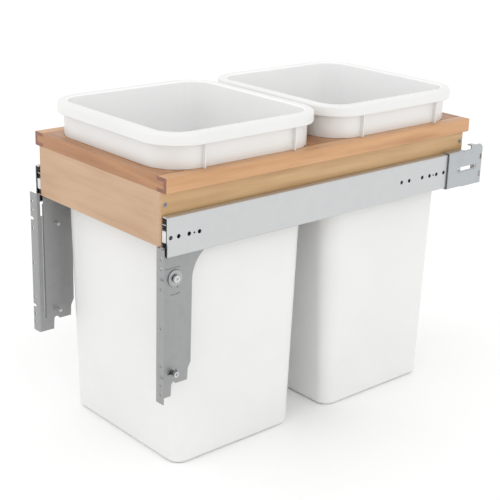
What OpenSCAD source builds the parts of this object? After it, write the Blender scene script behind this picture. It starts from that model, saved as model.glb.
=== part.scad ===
// Top-mount pull-out waste unit for a kitchen base cabinet: a maple frame on full-extension
// ball-bearing slides carries two lift-out bins, and steel brackets at the front hold the
// cabinet's own door. Millimetres, +Z up, front towards -Y. The origin is the centre of the
// four screw holes on the back of the rear brackets, on the cabinet's back wall.

/* [Frame] */
// Width of the top frame
frame_w = 290; // [280:1:330]
// Length of the top frame, front to back
frame_l = 559; // [540:1:600]
// Thickness of the top rails
rail_t = 19; // [16:1:25]
// Width of the two side rails
side_rail_w = 19; // [16:1:24]
// Width of the rail between the two bins
mid_rail_w = 31; // [26:1:36]
// Height of the aprons under the top rails
apron_h = 69; // [60:1:80]
// Thickness of the side aprons
side_apron_t = 9; // [8:0.5:10]
// Thickness of the front and rear aprons
end_apron_t = 12; // [9:1:16]
// Distance that the top rails overhang the side aprons
apron_inset = 10; // [8:1:12]

/* [Slides] */
// Height of the cabinet member of a slide
slide_h = 50.8; // [45:0.1:52]
// Thickness of a closed slide
slide_t = 12.7; // [12.7:0.1:13.5]
// Length of the cabinet member
slide_l = 545; // [520:1:555]
// Depth of the slide's centre line below the top of the frame
slide_drop = 73; // [70:1:76]
// Pull-out travel of the frame
travel = 530; // [500:1:535]
// Sheet thickness of the slide members
slide_sheet = 1.4; // [1.2:0.1:1.5]

/* [Bins] */
// Half width of the bin's skirt, across the frame
skirt_hx = 130; // [128:1:132]
// Half length of the bin's skirt, along the frame
skirt_hy = 127; // [124:1:128]
// Corner radius of the skirt
skirt_r = 48; // [40:1:52]
// Height of the skirt between the frame and the rim
skirt_h = 31; // [25:1:36]
// Height of the rim band
rim_h = 15; // [12:1:18]
// Overhang of the rim beyond the skirt
rim_out = 7.5; // [6:0.5:8]
// Depth of the bin below the top of the frame
bin_depth = 406; // [380:1:415]
// Half width of the bin's foot, across the frame
foot_hx = 120; // [110:1:121]
// Half length of the bin's foot, along the frame
foot_hy = 104; // [98:1:112]
// Wall thickness of the bin
bin_wall = 2.6; // [2:0.1:3]
// Distance between the centres of the two bins
bin_pitch = 276; // [274:1:280]

/* [Rear brackets] */
// Distance from the frame's front to the cabinet's back wall
depth = 592; // [585:1:600]
// Length of the bracket along the slide
rear_len = 78; // [70:0.5:80]
// Distance between the two screw holes of one bracket
rear_hole_z = 26; // [24:1:30]

/* [Door brackets] */
// Sheet thickness of the hanger plate and the door bracket
plate_t = 1.5; // [1.5:0.5:2]
// Distance between the outer edges of the two door flanges
flange_span = 301.6; // [298:0.2:304]
// Distance of the flange's face in front of the frame
flange_front = 8; // [8:1:12]
// Height of the pivot screw below the top of the frame
pivot_drop = 130.5; // [128:0.5:136]
// Distance of the pivot screw behind the frame's front
pivot_back = 20; // [19:1:25]
// Height of the clamp screw below the top of the frame
clamp_drop = 256; // [250:1:260]

/* [Hidden] */

$fn = 48;

// Planes of the frame in the part's own axes
front = -depth;
back = front + frame_l;
top = slide_drop;
rail_under = top - rail_t;
apron_under = rail_under - apron_h;
edge_x = frame_w / 2;
open_x = edge_x - side_rail_w;
apron_x = edge_x - apron_inset;

// Bins and the openings that they drop through
bin_mid = front + frame_l / 2;
bin_y = [bin_mid - bin_pitch / 2, bin_mid + bin_pitch / 2];
open_half_y = (bin_pitch - mid_rail_w) / 2;
front_rail_w = bin_y[0] - open_half_y - front;
neck_gap = 2;
neck_x = open_x - neck_gap;
neck_y = open_half_y - neck_gap;
neck_r = 34;
corner_cut = 21.5;
foot_r = 20;
foot_round = 6;
foot_z = top - bin_depth;
rim_z = top + skirt_h;
rim_top = rim_z + rim_h;
rim_x = skirt_hx + rim_out;
rim_y = skirt_hy + rim_out;
rim_r = skirt_r + 5;
rib_y = 75;
rib_w = 1.8;
rib_foot = 3.5;
rib_out = 6.5;

// Screws through the side aprons
play = 0.05;
apron_screw_x = [apron_x, apron_x - 32];
apron_screw_z = [top - 35, top - 64];
lap = 3;
apron_screw_r = 1.9;
apron_head_r = 3.6;
hanger_screw_y = [20, 82];
hanger_screw_z = 9;
cross_w = 0.8;

// Tongues that join the rails
tongue_t = rail_t - 10;
tongue_l = 13.5;

// Slide sections: s runs from the drawer side out to the cabinet side
race_gap = 3.4;
outer_half = slide_h / 2;
middle_half = outer_half - slide_sheet - race_gap;
inner_half = middle_half - slide_sheet - race_gap;
lip_s = 3.6;
middle_out_s = slide_t - slide_sheet - 0.2;
middle_lip_s = 2.2;
inner_lip_s = 8.4;
inner_l = 436;
middle_start = 3;
middle_l = 530;
cage_start = travel / 4 + 4.5;
cage_l = 262;
cage_t = 1.6;
ball_r = 1.65;
balls_per_row = 9;
ball_margin = 7;
cap_half = outer_half - 2;
cap_peg_z = 22.3;
bumper_half = 7.2;
bumper_face = 2.4;
outer_race_z = mid(middle_half, outer_half - slide_sheet);
inner_race_z = mid(inner_half, middle_half - slide_sheet);
damper_y = [front + 446, front + 540];
damper_half = 13;
damper_foot = 16;
damper_xz = [apron_x + 5.8, 4];
hole_r = 2.8;
small_hole_r = 1.4;
front_holes = [5, 17, 33, 49];
rear_holes = [415, 431, 459, 475, 490, 506];
small_holes = [41, 483];
inner_holes = [120, 250, 400];
access_half = 6;
front_access = 58;
rear_access = [408, 515];

// Rear bracket
bracket_t = 1.5;
bracket_in = apron_x + slide_t + 1.4;
bracket_out = bracket_in + bracket_t;
bracket_bend = 3;
bracket_half = outer_half + 0.6 + bracket_t;
flange_in = 130;
ear_z = 33.5;
ear_l = 29;
ear_lip_l = 9;
rear_lip_l = 34;
oval_y = -37.5;
oval = [46, 9];
oval_slot = [39, 5.6];
rear_hole_x = 140;
rear_hole_r = 2.5;

// Hanger plate and door bracket
plate_out = apron_x;
bracket_gap = 0.2;
door_bend_r = 2.5;
door_in = plate_out + bracket_gap;
door_out = door_in + plate_t;
flange_out = flange_span / 2;
flange_hole_x = flange_out - 5.3;
flange_hole_r = 2.2;
flange_holes = [-89.5, -77, -51, 0, 51, 77, 89.5];
flange_slots = [-64.5, 64.5];
flange_slot_r = 2.3;
flange_top = 85;
flange_foot = 289;
flange_mid = mid(flange_top, flange_foot);
pivot = [front + pivot_back, top - pivot_drop];
clamp = [front + 16.5, top - clamp_drop];
clamp_reach = norm(clamp - pivot);
clamp_angle = atan2(clamp[1] - pivot[1], clamp[0] - pivot[0]);
screw_r = 2.4;
pivot_tail = 9.5;
clamp_tail = 15;
washer_r = 11;
washer_t = 2;
tilt = 2.4;
mark_w = 1.2;
mark_deep = 0.7;

function mid(a, b) = (a + b) / 2;

// Keeps a right-hand shape, or mirrors it to the left
module side(s) {
    if (s > 0) children();
    else mirror([1, 0, 0]) children();
}

// A block between two opposite corners
module block(a, b) {
    translate(a) cube(b - a);
}

// A profile drawn in X and Z, drawn out from y0 to y1
module along_y(y0, y1) {
    translate([0, y1, 0]) rotate([90, 0, 0]) linear_extrude(y1 - y0) children();
}

// A profile drawn in Y and Z, drawn out from x0 to x1
module along_x(x0, x1) {
    translate([x0, 0, 0]) rotate([90, 0, 90]) linear_extrude(x1 - x0) children();
}

// A round bar along X, at [y, z]
module bar_x(r, x0, x1, yz) {
    translate([x0, yz[0], yz[1]]) rotate([0, 90, 0]) cylinder(r = r, h = x1 - x0);
}

// A round bar along Y, at [x, z]
module bar_y(r, y0, y1, xz) {
    translate([xz[0], y0, xz[1]]) rotate([-90, 0, 0]) cylinder(r = r, h = y1 - y0);
}

// A rounded rectangle between two corners
module rounded(a, b, r) {
    translate([a[0] + r, a[1]]) square([b[0] - a[0] - 2 * r, b[1] - a[1]]);
    translate([a[0], a[1] + r]) square([b[0] - a[0], b[1] - a[1] - 2 * r]);
    for (x = [a[0] + r, b[0] - r], y = [a[1] + r, b[1] - r]) translate([x, y]) circle(r);
}

// A round-ended slot centred at c, long along the first axis
module slot2(c, len, w) {
    translate(c) {
        square([len - w, w], center = true);
        for (x = [-1, 1]) translate([x * (len - w) / 2, 0]) circle(w / 2);
    }
}

// Cross slot in a screw head that faces +X at x, cut down from x by depth
module cross_slot(x, reach, down) {
    for (a = [0, 90]) rotate([a, 0, 0])
        block([x - down, -reach, -cross_w / 2], [x + 1, reach, cross_w / 2]);
}

// ---- Top frame ----

// Slots in a side rail for the tongues of the cross rails
module tongue_slots(extra) {
    z0 = mid(top, rail_under) - tongue_t / 2;
    for (span = [[front - 1, front + front_rail_w], [back - front_rail_w, back + 1],
                 [bin_mid - mid_rail_w / 2, bin_mid + mid_rail_w / 2]])
        block([open_x - 1, span[0], z0], [open_x + tongue_l + extra, span[1], z0 + tongue_t]);
}

module top_rail_side(s) {
    color([0.78, 0.58, 0.40]) side(s) difference() {
        along_y(front, back) rounded([open_x, rail_under], [edge_x, top], 1);
        tongue_slots(0.2);
    }
}

// A rail across the frame. Behind it (at y1) and in front of it (at y0) its ends can widen
// to cut off the corners of the bin openings
module cross_rail(y0, y1, front_cut, back_cut) {
    z0 = mid(top, rail_under) - tongue_t / 2;
    block([-open_x, y0, rail_under], [open_x, y1, top]);
    block([-open_x - tongue_l, y0, z0], [open_x + tongue_l, y1, z0 + tongue_t]);
    for (s = [-1, 1]) side(s) translate([0, 0, rail_under]) linear_extrude(rail_t) {
        if (front_cut) polygon([[open_x, y0 - corner_cut], [open_x, y0 + 1],
                                [open_x - corner_cut - 1, y0 + 1], [open_x - corner_cut, y0]]);
        if (back_cut) polygon([[open_x, y1 + corner_cut], [open_x, y1 - 1],
                               [open_x - corner_cut - 1, y1 - 1], [open_x - corner_cut, y1]]);
    }
}

module top_rail_front() {
    color([0.73, 0.53, 0.39]) cross_rail(front, front + front_rail_w, false, true);
}

module top_rail_rear() {
    color([0.73, 0.53, 0.39]) cross_rail(back - front_rail_w, back, true, false);
}

module top_rail_middle() {
    color([0.75, 0.56, 0.40])
        cross_rail(bin_mid - mid_rail_w / 2, bin_mid + mid_rail_w / 2, true, true);
}

// ---- Aprons ----

module each_apron_screw() {
    for (y = [front + end_apron_t / 2, back - end_apron_t / 2], z = apron_screw_z)
        translate([0, y, z]) children();
}

// A countersunk screw with its head flush at x = apron_x, pointing inwards
module sunk_screw(r, head_r, len) {
    rotate([0, -90, 0]) {
        translate([0, 0, -apron_x]) cylinder(r1 = head_r, r2 = r, h = head_r - r);
        translate([0, 0, -apron_x]) cylinder(r = r, h = len);
    }
}

// The hole that a countersunk screw sits in
module sunk_hole() {
    sunk_screw(apron_screw_r + play, apron_head_r + play, 20);
}

module side_apron(s) {
    color([0.78, 0.64, 0.47]) side(s) difference() {
        block([apron_x - side_apron_t, front, apron_under], [apron_x, back, rail_under]);
        // Rebates that lap over the ends of the front and rear aprons
        for (y = [[front - 1, front + end_apron_t], [back - end_apron_t, back + 1]])
            block([0, y[0], apron_under - 1], [apron_x - lap, y[1], rail_under + 1]);
        each_apron_screw() sunk_hole();
        each_hanger_screw() sunk_hole();
        // Pocket for the hanger plate
        along_x(apron_x - plate_t, apron_x + 1) hanger_outline(0.15);
        for (y = inner_holes) bar_x(apron_screw_r + play, 0, apron_x + 1, [front + y, 0]);
    }
}

module end_apron(y0, y1) {
    half = apron_x - lap;
    difference() {
        block([-half, y0, apron_under], [half, y1, rail_under]);
        for (s = [-1, 1]) side(s) each_apron_screw()
            bar_x(apron_screw_r + play, apron_screw_x[1] - 1, apron_x, [0, 0]);
    }
}

module front_apron() {
    color([0.82, 0.69, 0.56]) end_apron(front, front + end_apron_t);
}

module rear_apron() {
    color([0.82, 0.69, 0.56]) end_apron(back - end_apron_t, back);
}

module apron_screws() {
    color([0.62, 0.58, 0.52]) for (s = [-1, 1]) side(s) each_apron_screw() difference() {
        sunk_screw(apron_screw_r, apron_head_r, apron_screw_x[0] - apron_screw_x[1]);
        cross_slot(apron_x, 1.8, 1.2);
    }
}

// ---- Bins ----

// A rounded slab used as one level of the bin's body
module level(hx, hy, r, z) {
    translate([0, 0, z]) linear_extrude(1) rounded([-hx, -hy], [hx, hy], r, $fn = 32);
}

// Tapered body between the foot and the neck, shrunk on all sides by inset
module bin_body(inset, low_z, top_z) {
    hx = foot_hx - inset;
    hy = foot_hy - inset;
    r = foot_r - inset;
    hull() {
        level(neck_x - inset, neck_y - inset, neck_r - inset, top_z - 1);
        level(hx, hy, r, low_z + foot_round + 1);
        level(hx - foot_round, hy - foot_round, r - foot_round + 1, low_z);
    }
}

// A straight ring between two rounded outlines, t thick
module ring(hx, hy, r, t, z0, z1) {
    translate([0, 0, z0]) linear_extrude(z1 - z0) difference() {
        rounded([-hx, -hy], [hx, hy], r);
        rounded([t - hx, t - hy], [hx - t, hy - t], r - t);
    }
}

// A flat ring between an outer outline and one inside the neck wall
module shelf(hx, hy, r, inset, z0, z1) {
    translate([0, 0, z0]) linear_extrude(z1 - z0) difference() {
        rounded([-hx, -hy], [hx, hy], r);
        rounded([inset - neck_x, inset - neck_y], [neck_x - inset, neck_y - inset], neck_r - inset);
    }
}

// The bin hangs on the frame by the lower edge of its skirt
module bin(y) {
    translate([0, y, 0]) {
        difference() {
            bin_body(0, foot_z, top + 1);
            bin_body(bin_wall, foot_z + bin_wall, top + 2);
        }
        // Neck wall inside the skirt
        ring(neck_x, neck_y, neck_r, bin_wall, top, rim_top - 4);
        // Skirt, with two gussets under the rim on each side of the frame
        ring(skirt_hx, skirt_hy, skirt_r, bin_wall, top, rim_z + 2);
        for (s = [-1, 1], y = [-rib_y, rib_y]) side(s) along_y(y - rib_w / 2, y + rib_w / 2)
            translate([skirt_hx, 0]) polygon([[-1, top], [rib_foot, top], [rib_out, rim_z + 1], [-1, rim_z + 1]]);
        // Rim band, joined to the neck below and above
        ring(rim_x, rim_y, rim_r, bin_wall, rim_z, rim_top);
        shelf(rim_x, rim_y, rim_r, 1, rim_z, rim_z + 2);
        shelf(rim_x - 1, rim_y - 1, rim_r - 1, bin_wall, rim_top - 5, rim_top);
    }
}

module bin_front() {
    color([0.94, 0.94, 0.93]) bin(bin_y[0]);
}

module bin_rear() {
    color([0.94, 0.94, 0.93]) bin(bin_y[1]);
}

// ---- Slides ----

// A channel section between s0 and s1, open at s0 (open_low) or at s1
module channel(s0, s1, half, t, r, open_low) {
    lo = apron_x + s0;
    hi = apron_x + s1;
    difference() {
        rounded([lo - (open_low ? 10 : 0), -half], [hi + (open_low ? 0 : 10), half], r);
        rounded([lo + (open_low ? -20 : t), -half + t],
                [hi + (open_low ? -t : 20), half - t], max(r - t, 0.4));
        if (open_low) translate([lo - 30, -half - 1]) square([30, 2 * half + 2]);
        else translate([hi, -half - 1]) square([30, 2 * half + 2]);
    }
}

module slide_outer(s) {
    web = [apron_x + 9, apron_x + 20];
    color([0.80, 0.81, 0.82]) side(s) difference() {
        along_y(front, front + slide_l)
            channel(lip_s, slide_t, outer_half, slide_sheet, 2.2, true);
        for (y = concat(front_holes, rear_holes)) bar_x(hole_r, web[0], web[1], [front + y, 0]);
        for (y = small_holes) bar_x(small_hole_r, web[0], web[1], [front + y, 0]);
    }
}

module slide_middle(s) {
    y0 = front + middle_start;
    web = [apron_x + middle_out_s - slide_sheet - 1, apron_x + slide_t];
    color([0.76, 0.77, 0.78]) side(s) difference() {
        along_y(y0, y0 + middle_l)
            channel(middle_lip_s, middle_out_s, middle_half, slide_sheet, 2, true);
        // Notch and window behind the screw holes of the cabinet member
        block([web[0], y0 - 1, -access_half], [web[1], front + front_access, access_half]);
        block([web[0], front + rear_access[0], -access_half],
              [web[1], front + rear_access[1], access_half]);
    }
}

module slide_inner(s) {
    y0 = front + 1;
    color([0.78, 0.79, 0.80]) side(s) difference() {
        along_y(y0, y0 + inner_l) channel(0, inner_lip_s, inner_half, slide_sheet, 2, false);
        for (y = inner_holes)
            bar_x(apron_screw_r + play, apron_x - 1, apron_x + 3, [front + y, 0]);
    }
}

// Places a child at each ball of the row at height z and depth s
module each_ball(z, s) {
    step = (cage_l - 2 * ball_margin) / (balls_per_row - 1);
    for (i = [0 : balls_per_row - 1])
        translate([apron_x + s, front + cage_start + ball_margin + i * step, z]) children();
}

// Strips that carry the rows of balls above and below the slide's centre line
module ball_cage(z, s0, s1) {
    y0 = front + cage_start;
    for (k = [-1, 1]) difference() {
        block([apron_x + s0, y0, k * z - cage_t / 2], [apron_x + s1, y0 + cage_l, k * z + cage_t / 2]);
        each_ball(k * z, mid(s0, s1)) cylinder(r = ball_r + 0.15, h = 6, center = true);
    }
}

module ball_rows(z, s) {
    for (k = [-1, 1]) each_ball(k * z, s) sphere(r = ball_r, $fn = 24);
}

module ball_cage_outer(s) {
    color([0.16, 0.16, 0.17]) side(s) ball_cage(outer_race_z, 4.6, 10.4);
}

module ball_cage_inner(s) {
    color([0.16, 0.16, 0.17]) side(s) ball_cage(inner_race_z, 2.8, 7.6);
}

module balls_outer(s) {
    color([0.85, 0.86, 0.88]) side(s) ball_rows(outer_race_z, 7.5);
}

module balls_inner(s) {
    color([0.85, 0.86, 0.88]) side(s) ball_rows(inner_race_z, 5.2);
}

// Plastic cap over the front edges of the middle member
module middle_end_cap(s) {
    y0 = front + 0.6;
    y1 = front + middle_start;
    x0 = apron_x + middle_lip_s;
    x1 = apron_x + middle_out_s - 0.2;
    peg = [apron_x + 4.6, apron_x + 10];
    color([0.10, 0.10, 0.11]) side(s) {
        along_y(y0, y1) difference() {
            translate([x0, -cap_half]) square([x1 - x0, 2 * cap_half]);
            translate([apron_x, -inner_half - 0.4])
                square([middle_out_s - slide_sheet, 2 * inner_half + 0.8]);
        }
        for (z = [-cap_peg_z, cap_peg_z])
            block([peg[0], y1, z - 1.2], [peg[1], y1 + 12, z + 1.2]);
    }
}

// Nylon bumper in the front end of the drawer member
module front_bumper(s) {
    y0 = front + 0.6;
    x0 = apron_x + slide_sheet;
    color([0.88, 0.88, 0.87]) side(s) {
        along_y(y0, y0 + bumper_face)
            rounded([x0, -bumper_half], [apron_x + 8.9, bumper_half], 1.2);
        block([x0, y0 + 1, 2 - bumper_half], [x0 + 2.6, y0 + 12, bumper_half - 2]);
    }
}

// Soft-close unit in the rear of the cabinet member
module damper_body(s) {
    y0 = damper_y[0];
    y1 = damper_y[1];
    color([0.20, 0.20, 0.21]) side(s) difference() {
        union() {
            along_y(y0, y1)
                rounded([apron_x + 2.4, -damper_half], [apron_x + 9.3, damper_half], 1.5);
            block([apron_x + 7, y1 - 4, -damper_foot],
                  [apron_x + slide_t - slide_sheet, y1, damper_foot]);
        }
        bar_y(2.6, y0 - 1, y0 + 60, damper_xz);
    }
}

module damper_rod(s) {
    y0 = damper_y[0];
    color([0.82, 0.83, 0.85]) side(s) {
        bar_y(1.6, y0 - 1, y0 + 50, damper_xz);
        bar_y(2.5, y0 + 50, y0 + 56, damper_xz);
        bar_y(2.4, y0 - 5, y0 - 1, damper_xz);
    }
}

module slide_screws() {
    head_x = apron_x + slide_sheet;
    color([0.72, 0.73, 0.75]) for (s = [-1, 1]) side(s) for (y = inner_holes)
        translate([0, front + y, 0]) difference() {
            union() {
                bar_x(apron_screw_r, apron_x - 8, head_x + 0.5, [0, 0]);
                bar_x(3.8, head_x, head_x + 2, [0, 0]);
            }
            cross_slot(head_x + 2, 2, 1.2);
        }
}

// ---- Rear brackets ----

// Bend between the rear bracket's side plate and its flange, seen from above
module rear_bend() {
    translate([bracket_out - bracket_bend, -bracket_bend]) intersection() {
        difference() {
            circle(bracket_bend);
            circle(bracket_bend - bracket_t);
        }
        square(bracket_bend);
    }
}

// Side plate of the rear bracket in Y and Z, from y0 to the bend, with its raised ear
module rear_outline(y0) {
    translate([y0, -bracket_half]) square([-bracket_bend - y0, 2 * bracket_half]);
    translate([-ear_l, 0]) square([ear_lip_l, ear_z]);
    rounded([-ear_l, 0], [-bracket_bend, ear_z - 0.5], 7);
}

module rear_bracket(s) {
    y0 = -rear_len;
    lip_end = y0 + rear_lip_l;
    color([0.75, 0.77, 0.78]) side(s) difference() {
        union() {
            // Sleeve that holds the cabinet member, and the side plate behind it
            along_y(y0, lip_end)
                channel(lip_s, bracket_out - apron_x, bracket_half, bracket_t, 3, true);
            along_x(bracket_in, bracket_out) rear_outline(lip_end - 1);
            // Short lip on the ear
            block([bracket_out - 8, -ear_l, ear_z - bracket_t],
                  [bracket_out - 1, ear_lip_l - ear_l, ear_z]);
            // Flange against the cabinet's back wall
            translate([0, 0, -bracket_half]) linear_extrude(2 * bracket_half) rear_bend();
            block([flange_in, -bracket_t, -bracket_half],
                  [bracket_out - bracket_bend, 0, bracket_half]);
        }
        // Pressed oval with a long slot through it
        along_x(bracket_out - 0.6, bracket_out + 1) slot2([oval_y, 0], oval[0], oval[1]);
        along_x(bracket_in - 1, bracket_out + 1) slot2([oval_y, 0], oval_slot[0], oval_slot[1]);
        for (z = [-rear_hole_z / 2, rear_hole_z / 2]) {
            bar_y(rear_hole_r, -5, 5, [rear_hole_x, z]);
            // Window beside the bend
            along_x(bracket_in - 1, bracket_out + 1) rounded([-7.2, z - 4.5], [-3.8, z + 4.5], 1.2);
        }
    }
}

// ---- Door mounting ----

// Outline of the hanger plate in Y and Z, grown by g
module hanger_outline(g) {
    translate([front, top]) difference() {
        polygon([
            [11 - g, -51 + g], [93.5 + g, -51 + g], [93.5 + g, -95], [93.5, -140],
            [48.5, -140], [47.8, -250], [43.2, -259], [42.5, -274], [24, -274],
            [20, -270], [2.2, -270], [2.2, -90], [11 - g, -90]
        ]);
        translate([93.5 + g, -140]) circle(45, $fn = 96);
        translate([48.7, -300]) square([60, 160]);
    }
}

module each_hanger_screw() {
    for (y = hanger_screw_y) translate([0, front + y, hanger_screw_z]) children();
}

module hanger_plate(s) {
    color([0.56, 0.57, 0.58]) side(s) difference() {
        along_x(plate_out - plate_t, plate_out) hanger_outline(0);
        for (c = [pivot, clamp]) bar_x(screw_r + 0.03, plate_out - 5, plate_out + 5, c);
        each_hanger_screw() sunk_hole();
    }
}

module hanger_screws() {
    color([0.72, 0.73, 0.75]) for (s = [-1, 1]) side(s) each_hanger_screw() difference() {
        sunk_screw(apron_screw_r, apron_head_r, side_apron_t - 0.6);
        cross_slot(apron_x, 1.8, 1.2);
    }
}

// Slot for the clamp screw in Y and Z, square to the line from the pivot
module clamp_slot() {
    w = 2 * screw_r + 1;
    translate(clamp) rotate(clamp_angle + 90) slot2([0, 0], 2 * clamp_reach * sin(tilt) + w, w);
}

// Part of a ring about the pivot, from angle a over span
module arc_mark(reach, a, span) {
    translate(pivot) intersection() {
        difference() {
            circle(reach + mark_w / 2);
            circle(reach - mark_w / 2);
        }
        polygon([[0, 0], for (b = [a, a + span / 2, a + span]) 2 * reach * [cos(b), sin(b)]]);
    }
}

// Plate of the door bracket in Y and Z
module door_outline() {
    translate([front, top]) difference() {
        polygon([
            [4 - flange_front, -flange_top], [-2.2, -flange_top], [-2.2, -101], [37, -101],
            [37, -240], [34, -270], [18.5, -270], [16, -273], [15, -flange_foot],
            [4 - flange_front, -flange_foot]
        ]);
        // Opening and slit behind the bend
        translate([-1.8, -118]) square([3.6, 20]);
        translate([0.4, -267]) square([1.2, 150]);
    }
}

// L-shaped corner between two planes at x and y, with a round of radius r
module corner(x, y, r, reach_x, reach_y) {
    translate([x, y + r]) square([reach_x, reach_y - r]);
    translate([x + r, y]) square([reach_x - r, reach_y]);
    translate([x + r, y + r]) circle(r);
}

// Bend and flange of the door bracket, seen from above
module door_bend() {
    y0 = front - flange_front;
    difference() {
        corner(door_in, y0, door_bend_r, flange_out - door_in, 4.5);
        corner(door_out, y0 + plate_t, door_bend_r - plate_t, flange_span, 20);
    }
}

module door_bracket(s) {
    color([0.65, 0.66, 0.66]) side(s) difference() {
        union() {
            along_x(door_in, door_out) door_outline();
            translate([0, 0, top - flange_foot]) linear_extrude(flange_foot - flange_top) door_bend();
        }
        // Door screw holes, and slots open to the flange's edge
        for (z = flange_holes)
            bar_y(flange_hole_r, front - 20, front, [flange_hole_x, top - flange_mid + z]);
        for (z = flange_slots) along_y(front - 20, front)
            translate([flange_hole_x, top - flange_mid + z]) {
                circle(flange_slot_r);
                translate([0, -flange_slot_r]) square([20, 2 * flange_slot_r]);
            }
        // Pivot hole, clamp slot and index hole
        bar_x(screw_r + 0.06, door_in - 5, door_out + 5, pivot);
        along_x(door_in - 1, door_out + 1) clamp_slot();
        bar_x(0.9, door_in - 1, door_out + 1, pivot + [4.2, -12.3]);
        // Shallow marks for the tilt: a line above the washer and two arcs under it
        along_x(door_out - mark_deep, door_out + 1) {
            translate(pivot + [-16, 13.2]) square([24, mark_w]);
            for (a = [-112, -89]) arc_mark(21.6, a, 20);
        }
    }
}

module pivot_screws() {
    color([0.80, 0.81, 0.82]) for (s = [-1, 1]) side(s) difference() {
        union() {
            bar_x(screw_r, plate_out - plate_t - pivot_tail, door_out + washer_t + 0.2, pivot);
            bar_x(4.4, door_out + washer_t + 0.1, door_out + washer_t + 3, pivot);
        }
        translate([door_out + washer_t + 1.2, pivot[0], pivot[1]]) rotate([0, 90, 0])
            cylinder(r = 2.2, h = 5, $fn = 6);
    }
}

module pivot_washers() {
    color([0.76, 0.77, 0.78]) for (s = [-1, 1]) side(s) difference() {
        translate([door_out + 0.1, pivot[0], pivot[1]]) rotate([0, 90, 0]) {
            cylinder(r = washer_r, h = washer_t / 2);
            translate([0, 0, washer_t / 2])
                cylinder(r1 = washer_r, r2 = washer_r - 1.4, h = washer_t / 2 - 0.1);
        }
        bar_x(screw_r + 0.02, door_in, door_out + 5, pivot);
    }
}

module clamp_screws() {
    color([0.80, 0.81, 0.82]) for (s = [-1, 1]) side(s) difference() {
        union() {
            bar_x(screw_r, plate_out - plate_t - clamp_tail, door_out + 7, clamp);
            bar_x(3.7, door_out + 6.6, door_out + 10, clamp);
        }
        translate([door_out + 8, clamp[0], clamp[1]]) rotate([0, 90, 0])
            cylinder(r = 1.9, h = 5, $fn = 6);
    }
}

module clamp_bushes() {
    color([0.45, 0.46, 0.47]) for (s = [-1, 1]) side(s) difference() {
        bar_x(3.2, door_out + 0.1, door_out + 6.5, clamp);
        bar_x(screw_r + 0.02, door_in, door_out + 8, clamp);
    }
}

top_rail_side(1);  // top_rail_right
top_rail_side(-1);  // top_rail_left
top_rail_front();
top_rail_rear();
top_rail_middle();
side_apron(1);  // side_apron_right
side_apron(-1);  // side_apron_left
front_apron();
rear_apron();
bin_front();
bin_rear();
slide_outer(1);  // slide_outer_right
slide_outer(-1);  // slide_outer_left
slide_middle(1);  // slide_middle_right
slide_middle(-1);  // slide_middle_left
slide_inner(1);  // slide_inner_right
slide_inner(-1);  // slide_inner_left
ball_cage_outer(1);  // ball_cage_outer_right
ball_cage_outer(-1);  // ball_cage_outer_left
ball_cage_inner(1);  // ball_cage_inner_right
ball_cage_inner(-1);  // ball_cage_inner_left
balls_outer(1);  // balls_outer_right
balls_outer(-1);  // balls_outer_left
balls_inner(1);  // balls_inner_right
balls_inner(-1);  // balls_inner_left
middle_end_cap(1);  // middle_end_cap_right
middle_end_cap(-1);  // middle_end_cap_left
front_bumper(1);  // front_bumper_right
front_bumper(-1);  // front_bumper_left
damper_body(1);  // damper_body_right
damper_body(-1);  // damper_body_left
damper_rod(1);  // damper_rod_right
damper_rod(-1);  // damper_rod_left
rear_bracket(1);  // rear_bracket_right
rear_bracket(-1);  // rear_bracket_left
hanger_plate(1);  // hanger_plate_right
hanger_plate(-1);  // hanger_plate_left
door_bracket(1);  // door_bracket_right
door_bracket(-1);  // door_bracket_left
pivot_screws();
pivot_washers();
clamp_screws();
clamp_bushes();
apron_screws();
hanger_screws();
slide_screws();
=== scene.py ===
"""Looks of the pull-out waste unit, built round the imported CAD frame. Metres, +Z up, front towards -Y."""

import math

import bmesh
import bpy
from mathutils import Matrix, Vector


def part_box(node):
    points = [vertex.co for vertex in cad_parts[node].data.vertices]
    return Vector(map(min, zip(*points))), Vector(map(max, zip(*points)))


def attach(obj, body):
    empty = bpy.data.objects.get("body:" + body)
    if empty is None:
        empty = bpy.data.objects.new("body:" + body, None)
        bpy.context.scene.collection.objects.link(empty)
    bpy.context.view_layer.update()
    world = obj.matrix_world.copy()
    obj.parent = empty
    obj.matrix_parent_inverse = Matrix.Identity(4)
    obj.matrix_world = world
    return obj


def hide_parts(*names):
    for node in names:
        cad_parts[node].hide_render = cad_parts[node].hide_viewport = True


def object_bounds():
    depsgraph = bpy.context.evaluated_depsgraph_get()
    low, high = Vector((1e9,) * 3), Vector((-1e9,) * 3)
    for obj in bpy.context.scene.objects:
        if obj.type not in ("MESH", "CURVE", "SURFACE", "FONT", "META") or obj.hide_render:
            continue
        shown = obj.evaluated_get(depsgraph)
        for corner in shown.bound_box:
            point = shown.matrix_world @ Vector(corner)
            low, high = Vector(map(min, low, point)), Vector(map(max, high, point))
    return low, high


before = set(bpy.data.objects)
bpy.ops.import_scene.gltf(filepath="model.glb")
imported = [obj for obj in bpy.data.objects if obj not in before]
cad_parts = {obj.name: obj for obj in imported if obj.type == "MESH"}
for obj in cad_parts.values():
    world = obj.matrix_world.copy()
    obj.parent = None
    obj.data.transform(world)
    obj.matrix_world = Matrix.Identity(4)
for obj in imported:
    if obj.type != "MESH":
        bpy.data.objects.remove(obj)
CAD_BOX = [list(corner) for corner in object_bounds()]

MM = 0.001
SIDES = {"right": 1, "left": -1}
BINS = {"bin_front": "front_bin", "bin_rear": "rear_bin"}

# ---------------------------------------------------------------- places taken from the frame

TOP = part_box("top_rail_right")[1].z
WASHER_T = 2.0  # mm
DOOR_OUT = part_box("pivot_washers")[1].x - WASHER_T * MM
FLOOR_Z = CAD_BOX[0][2]


# ---------------------------------------------------------------- mesh helpers


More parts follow.
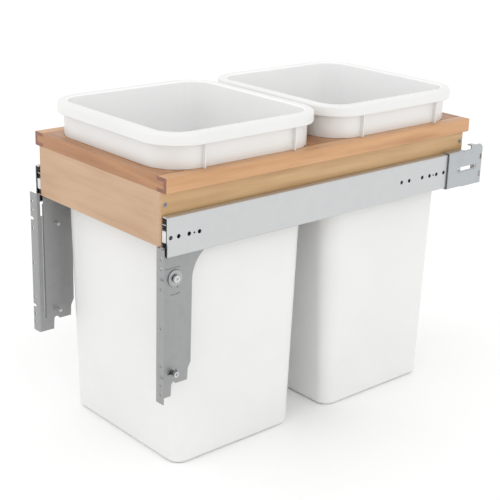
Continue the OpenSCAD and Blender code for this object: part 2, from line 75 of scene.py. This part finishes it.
def make(name, bm, angle=35):
    """A smooth-shaded object from bm, sharp where faces meet at more than angle degrees."""
    bmesh.ops.recalc_face_normals(bm, faces=bm.faces)
    mesh = bpy.data.meshes.new(name)
    bm.to_mesh(mesh)
    bm.free()
    mesh.shade_smooth()
    mesh.set_sharp_from_angle(angle=math.radians(angle))
    piece = bpy.data.objects.new(name, mesh)
    bpy.context.scene.collection.objects.link(piece)
    return piece


def round_ring(hx, hy, r, z, corner_steps=14, side_steps=6):
    """Points of a rounded rectangle at height z, anticlockwise seen from above."""
    points = []
    for sx, sy, start in ((1, 1, 0), (-1, 1, 90), (-1, -1, 180), (1, -1, 270)):
        for i in range(corner_steps + 1):
            a = math.radians(start + 90 * i / corner_steps)
            points.append(Vector((sx * (hx - r) + r * math.cos(a), sy * (hy - r) + r * math.sin(a), z)))
    dense = []
    for i, p in enumerate(points):
        dense.append(p)
        q = points[(i + 1) % len(points)]
        if i % (corner_steps + 1) == corner_steps:
            dense += [p.lerp(q, k / side_steps) for k in range(1, side_steps)]
    return dense


def loft(bm, rings, inner=0):
    """Quads between rings of equal length, both ends filled; the first inner bands take finish 1, which the
    bins use for their painted-brighter inside.
    """
    loops = [[bm.verts.new(p) for p in ring] for ring in rings]
    for band, (a, b) in enumerate(zip(loops, loops[1:])):
        for i in range(len(a)):
            j = (i + 1) % len(a)
            bm.faces.new((a[i], a[j], b[j], b[i])).material_index = int(band < inner)
    bm.faces.new(loops[0]).material_index = int(inner > 0)
    bm.faces.new(loops[-1])


def arc(centre, radius, start, end, steps):
    """Points (out, z) on an arc between two angles in degrees."""
    return [
        (
            centre[0] + radius * math.cos(math.radians(start + (end - start) * i / steps)),
            centre[1] + radius * math.sin(math.radians(start + (end - start) * i / steps)),
        )
        for i in range(steps + 1)
    ]


def lathe(bm, profile, place, segments=40):
    """Turns a profile of (radius, height) points about the local Z axis of place."""
    loops = []
    for radius, height in profile:
        loops.append(
            [
                bm.verts.new(
                    place
                    @ Vector(
                        (
                            radius * math.cos(2 * math.pi * k / segments),
                            radius * math.sin(2 * math.pi * k / segments),
                            height,
                        )
                    )
                )
                for k in range(segments)
            ]
        )
    for a, b in zip(loops, loops[1:]):
        for k in range(segments):
            j = (k + 1) % segments
            bm.faces.new((a[k], a[j], b[j], b[k]))
    bm.faces.new(loops[0])
    bm.faces.new(loops[-1])


def facing_x(side, y, z, x):
    """Matrix that puts local Z along the outward side of the unit, with its origin at x."""
    turn = Matrix.Rotation(math.radians(90 * side), 4, "Y")
    return Matrix.Translation((side * x, y, z)) @ turn


# ---------------------------------------------------------------- materials


class Nodes:
    """A small writer for shader node trees."""

    def __init__(self, name):
        self.material = bpy.data.materials.new(name)
        self.material.use_nodes = True
        self.tree = self.material.node_tree
        self.shader = self.tree.nodes["Principled BSDF"]

    def add(self, kind, **settings):
        node = self.tree.nodes.new(kind)
        for key, value in settings.items():
            setattr(node, key, value)
        return node

    def link(self, output, target):
        self.tree.links.new(output, target)

    def coords(self, scale=(1, 1, 1)):
        """Object coordinates, scaled, so that a pattern stays on its piece."""
        texture = self.add("ShaderNodeTexCoord")
        mapping = self.add("ShaderNodeMapping")
        mapping.inputs["Scale"].default_value = scale
        self.link(texture.outputs["Object"], mapping.inputs["Vector"])
        return mapping.outputs["Vector"]

    def noise(self, scale, vector, detail=3.0, rough=0.5, distortion=0.0):
        node = self.add("ShaderNodeTexNoise")
        node.inputs["Scale"].default_value = scale
        node.inputs["Detail"].default_value = detail
        node.inputs["Roughness"].default_value = rough
        node.inputs["Distortion"].default_value = distortion
        self.link(vector, node.inputs["Vector"])
        return node.outputs["Fac"]

    def ramp(self, value, stops):
        node = self.add("ShaderNodeValToRGB")
        elements = node.color_ramp.elements
        while len(elements) < len(stops):
            elements.new(0.5)
        for element, (place, colour) in zip(elements, stops):
            element.position = place
            element.color = (*colour, 1)
        self.link(value, node.inputs["Fac"])
        return node.outputs["Color"]

    def fit(self, value, lo, hi, to_lo, to_hi):
        node = self.add("ShaderNodeMapRange")
        for key, number in zip(("From Min", "From Max", "To Min", "To Max"), (lo, hi, to_lo, to_hi)):
            node.inputs[key].default_value = number
        self.link(value, node.inputs["Value"])
        return node.outputs["Result"]

    def mix(self, share, a, b, blend="MIX"):
        node = self.add("ShaderNodeMix", data_type="RGBA", blend_type=blend)
        for socket, value in ((node.inputs[0], share), (node.inputs[6], a), (node.inputs[7], b)):
            if isinstance(value, (int, float)):
                socket.default_value = value
            elif isinstance(value, tuple):
                socket.default_value = (*value, 1)
            else:
                self.link(value, socket)
        return node.outputs[2]

    def bump(self, height, strength, distance):
        node = self.add("ShaderNodeBump")
        node.inputs["Strength"].default_value = strength
        node.inputs["Distance"].default_value = distance
        self.link(height, node.inputs["Height"])
        self.link(node.outputs["Normal"], self.shader.inputs["Normal"])

    def put(self, **inputs):
        """Sets shader sockets: a number or colour on the socket, an output by a link."""
        for key, value in inputs.items():
            socket = self.shader.inputs[key.replace("_", " ")]
            if isinstance(value, tuple):
                socket.default_value = (*value, 1)
            elif isinstance(value, (int, float)):
                socket.default_value = value
            else:
                self.link(value, socket)
        return self.material


def along(axis, fine, coarse):
    """A scale that draws a pattern out along one axis."""
    return tuple(coarse if k == axis else fine for k in range(3))


def wood(name, axis, light, mid_tone, dark, end_light, end_dark, figure_and_sheen=0.5, shift=0.0):
    """Lacquered maple or birch with its grain along axis 0 (X) or 1 (Y)."""
    n = Nodes(name)
    fibre = n.noise(1.0, n.coords(along(axis, 900, 26)), 5, 0.62)
    streak = n.noise(1.0, n.coords(along(axis, 95, 5.5)), 4, 0.55, 0.4)
    cloud = n.noise(1.0, n.coords(along(axis, 20, 7)), 3, 0.5, 0.8)
    rings = n.add("ShaderNodeTexWave", wave_type="BANDS", bands_direction="DIAGONAL")
    rings.inputs["Scale"].default_value = 1.0
    rings.inputs["Distortion"].default_value = 6.0
    rings.inputs["Detail"].default_value = 2.0
    rings.inputs["Phase Offset"].default_value = 1.7 + shift
    n.link(n.coords(along(axis, 34, 2.2)), rings.inputs["Vector"])
    base = n.ramp(streak, [(0.30, light), (0.52, mid_tone), (0.78, dark)])
    base = n.mix(n.fit(fibre, 0.42, 0.70, 0.0, 0.22), base, dark)
    base = n.mix(n.fit(rings.outputs["Fac"], 0.70, 1.0, 0.0, 0.16), base, dark)
    # Broad lighter patches: partly the wood's figure, partly painted sheen for its shimmer
    base = n.mix(n.fit(cloud, 0.40, 0.66, 0.0, figure_and_sheen), base, light)
    # Short dark flecks, as in maple
    fleck = n.noise(1.0, n.coords(along(axis, 1500, 170)), 1, 0.4)
    base = n.mix(n.fit(fleck, 0.70, 0.80, 0.0, 0.30), base, dark)
    # End grain on the faces square to the fibres; the maple end colours are also darkened as painted shade of
    # the gaps at the rail joints
    speck = n.noise(1.0, n.coords((1400, 1400, 1400)), 3, 0.6)
    bands = n.noise(1.0, n.coords((160, 160, 500)), 2, 0.5)
    ends = n.ramp(n.mix(0.45, speck, bands), [(0.36, end_dark), (0.60, end_light)])
    texture = n.add("ShaderNodeTexCoord")
    parts = n.add("ShaderNodeSeparateXYZ")
    n.link(texture.outputs["Normal"], parts.inputs["Vector"])
    size = n.add("ShaderNodeMath", operation="ABSOLUTE")
    n.link(parts.outputs[axis], size.inputs[0])
    colour = n.mix(n.fit(size.outputs["Value"], 0.70, 0.80, 0.0, 1.0), base, ends)
    n.bump(fibre, 0.10, 0.0002)
    rough = n.fit(streak, 0.3, 0.75, 0.36, 0.47)
    return n.put(Base_Color=colour, Roughness=rough, Coat_Weight=0.12, Coat_Roughness=0.28)


def plated(name, light, dark, metal, rough, axis=1, streaks=0.5, grime=0.0):
    """Zinc-plated sheet steel with fine rolling lines along axis."""
    n = Nodes(name)
    line = n.noise(1.0, n.coords(along(axis, 2600, 18)), 4, 0.6)
    patch = n.noise(1.0, n.coords((55, 55, 55)), 4, 0.6, 0.3)
    spangle = n.noise(1.0, n.coords((420, 420, 420)), 2, 0.5)
    tone = n.mix(streaks, patch, line)
    colour = n.ramp(tone, [(0.34, dark), (0.64, light)])
    colour = n.mix(n.fit(spangle, 0.52, 0.72, 0.0, 0.18), colour, dark)
    if grime:
        colour = n.mix(n.fit(patch, 0.55, 0.75, 0.0, grime), colour, tuple(0.55 * c for c in dark))
    n.bump(line, 0.05, 0.00008)
    roughness = n.fit(tone, 0.35, 0.65, rough - 0.05, rough + 0.07)
    return n.put(Base_Color=colour, Metallic=metal, Roughness=roughness)


def moulded(name, light, dark, rough, grain=700.0, bump=0.06, coat=0.0, gloss=0.5):
    """Moulded plastic with a fine surface and slight tone changes."""
    n = Nodes(name)
    fine = n.noise(grain, n.coords(), 2, 0.5)
    broad = n.noise(9.0, n.coords(), 3, 0.5)
    colour = n.ramp(broad, [(0.35, dark), (0.65, light)])
    n.bump(fine, bump, 0.00012)
    roughness = n.fit(fine, 0.35, 0.65, rough - 0.03, rough + 0.05)
    n.put(Coat_Weight=coat, Coat_Roughness=0.2, Specular_IOR_Level=gloss)
    return n.put(Base_Color=colour, Roughness=roughness)


MAPLE = ((0.640, 0.362, 0.176), (0.575, 0.310, 0.145), (0.440, 0.214, 0.092))
# Maple end grain, darkened further as painted shade for the gaps at the rail joints
MAPLE_END_AND_JOINT_SHADE = ((0.27, 0.105, 0.070), (0.20, 0.080, 0.045))
REDDISH = ((0.470, 0.235, 0.104), (0.400, 0.186, 0.078), (0.300, 0.125, 0.052))
BIRCH = ((0.640, 0.425, 0.215), (0.575, 0.360, 0.170), (0.465, 0.270, 0.120))
BIRCH_END = ((0.560, 0.350, 0.190), (0.430, 0.250, 0.130))
PALE = ((0.570, 0.375, 0.235), (0.515, 0.325, 0.197), (0.430, 0.255, 0.146))

LOOKS = {
    "maple_side": wood("maple_side", 1, *MAPLE, *MAPLE_END_AND_JOINT_SHADE),
    "maple_cross": wood("maple_cross", 0, *REDDISH, *MAPLE_END_AND_JOINT_SHADE, figure_and_sheen=0.35, shift=2.0),
    "birch_side": wood("birch_side", 1, *BIRCH, *BIRCH_END, figure_and_sheen=0.45, shift=4.0),
    "birch_cross": wood("birch_cross", 0, *PALE, *BIRCH_END, figure_and_sheen=0.8, shift=5.0),
    "zinc": plated("zinc", (0.600, 0.612, 0.614), (0.560, 0.572, 0.576), 0.82, 0.36),
    # Slide middle and inner members: the same zinc steel as the outer member, painted darker as painted shade
    # inside the slide channels
    "zinc_inner_painted_shade": plated("zinc_inner_painted_shade", (0.46, 0.47, 0.48), (0.36, 0.37, 0.38), 0.88, 0.32),
    "zinc_bracket": plated("zinc_bracket", (0.50, 0.525, 0.54), (0.42, 0.44, 0.455), 0.85, 0.34, grime=0.15),
    "dull_steel": plated("dull_steel", (0.385, 0.388, 0.390), (0.328, 0.331, 0.334), 0.70, 0.46, 2, 0.4, 0.2),
    "screw": plated("screw", (0.70, 0.71, 0.72), (0.50, 0.51, 0.52), 0.95, 0.26, 0, 0.3),
    "wood_screw": plated("wood_screw", (0.40, 0.38, 0.35), (0.25, 0.235, 0.22), 0.85, 0.36, 0, 0.3, 0.3),
    "washer": plated("washer", (0.47, 0.475, 0.48), (0.36, 0.365, 0.37), 0.95, 0.24, 0, 0.3),
    "bush": plated("bush", (0.26, 0.265, 0.27), (0.18, 0.185, 0.19), 0.9, 0.38, 0, 0.3),
    "ball": plated("ball", (0.80, 0.81, 0.83), (0.72, 0.73, 0.75), 1.0, 0.12, 0, 0.2),
    "white_bin": moulded("white_bin", (0.800, 0.800, 0.786), (0.776, 0.777, 0.765), 0.34, 900, 0.05, 0.08),
    # Inside of the bins: the same plastic as the outside, painted brighter as painted light filling the
    # insides
    "white_bin_painted_light_inside": moulded(
        "white_bin_painted_light_inside", (0.930, 0.930, 0.925), (0.910, 0.912, 0.908), 0.42, 900, 0.05
    ),
    "black_plastic": moulded("black_plastic", (0.010, 0.010, 0.011), (0.007, 0.007, 0.008), 0.42, gloss=0.15),
    "nylon": moulded("nylon", (0.72, 0.72, 0.71), (0.64, 0.64, 0.63), 0.38),
}


def finish_node(node, look):
    """Gives a CAD node its look."""
    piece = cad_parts[node]
    if not piece.material_slots:
        piece.data.materials.append(LOOKS[look])
    for entry in piece.material_slots:
        entry.material = LOOKS[look]


def finish_piece(piece, look, slot, body, *nodes):
    """Gives a modelled piece its look and body, in place of its CAD nodes."""
    piece.data.materials.append(LOOKS[look])
    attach(piece, body)
    if nodes:
        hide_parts(*nodes)
    return piece


# ---------------------------------------------------------------- bins


def bin_profile(lo, hi, rim_lo):
    """Rings of (half x, half y, corner radius, z) from the inside floor over the rim to the foot.

    lo and hi are the corners of the CAD bin about its own centre, and rim_lo is the frame's top.
    """
    wall = 2.6 * MM
    rim_x, rim_y, rim_r = hi.x, hi.y, 53 * MM
    skirt_x, skirt_y, skirt_r = rim_x - 7.5 * MM, rim_y - 7.5 * MM, 48 * MM
    neck_x, neck_y, neck_r = 124 * MM, 120.5 * MM, 34 * MM
    foot_x, foot_y, foot_r, foot_z = 120 * MM, 104 * MM, 20 * MM, lo.z
    rim_top, rim_z = hi.z, hi.z - 15 * MM
    rings = []

    def body(share, inset):
        """Tapered wall, from the foot at share 0 to the neck at 1."""
        hx = foot_x + (neck_x - foot_x) * share - inset
        hy = foot_y + (neck_y - foot_y) * share - inset
        return hx, hy, foot_r + (neck_r - foot_r) * share - inset

    # Inside floor and its fillet
    floor_z, fillet = foot_z + wall, 7 * MM
    hx, hy, r = body(0, wall)
    rings.append((0.25 * hx, 0.25 * hy, 0.2 * r, floor_z + 0.8 * MM))
    rings.append((hx * 0.8, hy * 0.8, r * 0.7, floor_z + 0.3 * MM))
    for out, z in arc((-fillet, fillet), fillet, -90, 0, 5):
        rings.append((hx + out, hy + out, max(r + out, 4 * MM), floor_z + z))
    # Inside wall, up to the rounded inner lip
    steps = 10
    for i in range(1, steps + 1):
        share = i / steps
        hx, hy, r = body(share, wall)
        rings.append((hx, hy, r, floor_z + fillet + (rim_lo - floor_z - fillet) * share))
    lip = 2.2 * MM
    for out, z in arc((lip, -lip), lip, 180, 90, 5):
        rings.append((hx + out, hy + out, r + out, rim_top + z))
    # Rim: slightly crowned top, round shoulder, band and round lower edge
    shoulder, edge = 3.6 * MM, 1.3 * MM
    for out, z in arc((-shoulder, -shoulder), shoulder, 90, 0, 7):
        rings.append((rim_x + out, rim_y + out, rim_r + out, rim_top + z))
    for out, z in arc((-edge, edge), edge, 0, -90, 5):
        rings.append((rim_x + out, rim_y + out, rim_r + out, rim_z + z))
    # Root between the rim and the skirt
    root = 0.7 * MM
    for out, z in arc((root, -root), root, 90, 180, 4):
        rings.append((skirt_x + out, skirt_y + out, skirt_r + out, rim_z + z))
    # Skirt, slightly drafted, and its lower edge on the frame
    foot_edge = 0.8 * MM
    rings.append((skirt_x, skirt_y, skirt_r, rim_lo + 12 * MM))
    for out, z in arc((-foot_edge, foot_edge), foot_edge, 0, -90, 3):
        rings.append((skirt_x + out, skirt_y + out, skirt_r + out, rim_lo + z))
    rings.append((skirt_x - wall, skirt_y - wall, skirt_r - wall, rim_lo))
    rings.append((skirt_x - wall, skirt_y - wall, skirt_r - wall, rim_z + 1 * MM))
    rings.append((neck_x, neck_y, neck_r, rim_z + 1 * MM))
    # Outside of the neck and the body, down to the foot
    rings.append((neck_x, neck_y, neck_r, rim_lo))
    base_r = 6 * MM
    for i in range(1, steps + 1):
        share = 1 - i / steps
        rings.append((*body(share, 0), rim_lo + (foot_z + base_r - rim_lo) * (1 - share)))
    hx, hy, r = body(0, 0)
    for out, z in arc((-base_r, base_r), base_r, 0, -90, 6)[1:]:
        rings.append((hx + out, hy + out, r + out, foot_z + z))
    rings.append((hx - 14 * MM, hy - 14 * MM, r - 12 * MM, foot_z))
    rings.append((hx - 15 * MM, hy - 15 * MM, r - 13 * MM, foot_z + 1 * MM))
    rings.append((0.3 * hx, 0.3 * hy, 0.2 * r, foot_z + 1.2 * MM))
    return rings


def gusset(bm, side, x, y, width, low, high):
    """A thin rib on the skirt at x, slightly wider under the rim, with soft outer edges."""
    soft, root, foot_out, rim_out = (n * MM for n in (0.5, -1.0, 5.8, 6.4))
    outline = [(root, low), (foot_out, low), (rim_out, high), (root, high)]
    half = width / 2
    loops = []
    for across, inset in ((-half, soft), (soft - half, 0), (half - soft, 0), (half, soft)):
        loops.append(
            [
                bm.verts.new((side * (x + out - (inset if out > 0 else 0)), y + across, z))
                for out, z in outline
            ]
        )
    for a, b in zip(loops, loops[1:]):
        for k in range(4):
            j = (k + 1) % 4
            bm.faces.new((a[k], a[j], b[j], b[k]))
    bm.faces.new(loops[0])
    bm.faces.new(loops[-1])


def build_bins():
    """Both bin shells with their ribs, in place of the CAD bins."""
    rib_y, rib_w = 75 * MM, 1.8 * MM
    rib_x, rib_foot, rib_top = 7.5 * MM, 0.3 * MM, 14 * MM
    for node, body in BINS.items():
        lo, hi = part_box(node)
        centre = (lo + hi) / 2
        centre.z = 0
        low, high = lo - centre, hi - centre
        bm = bmesh.new()
        profile = bin_profile(low, high, TOP)
        heights = [ring[3] for ring in profile]
        loft(bm, [round_ring(*ring) for ring in profile], inner=heights.index(max(heights)))
        for s in (-1, 1):
            for y in (-rib_y, rib_y):
                gusset(bm, s, high.x - rib_x, y, rib_w, TOP + rib_foot, high.z - rib_top)
        bmesh.ops.translate(bm, verts=bm.verts, vec=centre)
        shell = finish_piece(make(f"{body}_shell", bm), "white_bin", "bin_plastic", body, node)
        # Finish 1: the inside of the shell, painted brighter as painted light
        shell.data.materials.append(LOOKS["white_bin_painted_light_inside"])


# ---------------------------------------------------------------- turned hardware


def build_hardware():
    """The pair of pivot washers, turned, with rounded edges."""
    lo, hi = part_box("pivot_washers")
    pivot_y, pivot_z = (lo.y + hi.y) / 2, (lo.z + hi.z) / 2
    bm = bmesh.new()
    # Profile in mm: under side, round rim, flat face and the seat of the screw's head
    bore, rim, edge, seat = 2.45, 11, 1.0, 1.6
    washer = [(bore, 0.1), (rim - 0.2, 0.1), (rim, 0.3)]
    washer += arc((rim - edge, WASHER_T - edge), edge, 0, 90, 5)
    washer += [(6.2, WASHER_T), (5.6, seat), (bore, seat)]
    for side in SIDES.values():
        place = facing_x(side, pivot_y, pivot_z, DOOR_OUT) @ Matrix.Scale(MM, 4)
        lathe(bm, washer, place)
    finish_piece(make("pivot_washer_pair", bm), "washer", "screw_zinc", "drawer", "pivot_washers")


# ---------------------------------------------------------------- CAD nodes that stay


def build_nodes():
    """Gives every CAD node that stays its look."""
    plan = {
        "maple_side": ["top_rail_right", "top_rail_left"],
        "maple_cross": ["top_rail_front", "top_rail_rear", "top_rail_middle"],
        "birch_side": ["side_apron_right", "side_apron_left"],
        "birch_cross": ["front_apron", "rear_apron"],
        "screw": ["pivot_screws", "clamp_screws", "hanger_screws", "slide_screws"],
        "wood_screw": ["apron_screws"],
        "bush": ["clamp_bushes"],
    }
    paired = {
        "zinc": ["slide_outer"],
        "zinc_inner_painted_shade": ["slide_middle", "slide_inner"],
        "zinc_bracket": ["rear_bracket"],
        "dull_steel": ["hanger_plate", "door_bracket"],
        "black_plastic": ["ball_cage_outer", "ball_cage_inner", "middle_end_cap", "damper_body"],
        "ball": ["balls_outer", "balls_inner", "damper_rod"],
        "nylon": ["front_bumper"],
    }
    for side in SIDES:
        for look, stems in paired.items():
            for stem in stems:
                finish_node(f"{stem}_{side}", look)
    for look, nodes in plan.items():
        for node in nodes:
            finish_node(node, look)


# ---------------------------------------------------------------- stage


def build_stage():
    """Pale floor, soft light and the camera."""
    scene = bpy.context.scene
    scene.view_settings.view_transform = "Standard"
    world = bpy.data.worlds.new("studio")
    world.use_nodes = True
    background = world.node_tree.nodes["Background"]
    background.inputs["Color"].default_value = (1, 1, 1, 1)
    background.inputs["Strength"].default_value = 1.0
    scene.world = world

    floor_mesh = bpy.data.meshes.new("floor")
    half, gap = 8.0, 0.5 * MM
    floor_mesh.from_pydata(
        [(x, y, FLOOR_Z - gap) for x, y in ((-half, -half), (half, -half), (half, half), (-half, half))],
        [],
        [(0, 1, 2, 3)],
    )
    floor = bpy.data.objects.new("floor", floor_mesh)
    scene.collection.objects.link(floor)
    n = Nodes("floor")
    floor_mesh.materials.append(n.put(Base_Color=(0.97, 0.97, 0.97), Roughness=0.9))

    def sun(name, toward, angle, strength):
        """A wide distant light that shines from the given direction."""
        light = bpy.data.lights.new(name, "SUN")
        light.angle = math.radians(angle)
        light.energy = strength
        lamp = bpy.data.objects.new(name, light)
        scene.collection.objects.link(lamp)
        lamp.rotation_mode = "QUATERNION"
        lamp.rotation_quaternion = Vector(toward).to_track_quat("Z", "Y")

    sun("key", (-0.25, -0.75, 1.0), 50, 0.30)
    sun("fill", (1.0, -0.25, 0.75), 60, 0.30)

    # Camera place in metres and its angles in degrees, at the photograph's view
    place = (1.1892, -1.3915, 0.4490)
    azimuth, elevation, roll = (math.radians(a) for a in (48.193, 19.346, 1.784))
    lens = bpy.data.cameras.new("camera")
    lens.sensor_width = 36
    lens.lens = 83.945
    lens.clip_start, lens.clip_end = 0.05, 50
    camera = bpy.data.objects.new("camera", lens)
    scene.collection.objects.link(camera)
    camera.matrix_world = (
        Matrix.Translation(place)
        @ Matrix.Rotation(azimuth, 4, "Z")
        @ Matrix.Rotation(math.pi / 2 - elevation, 4, "X")
        @ Matrix.Rotation(roll, 4, "Z")
    )
    scene.camera = camera


build_stage()
build_nodes()
build_bins()
build_hardware()
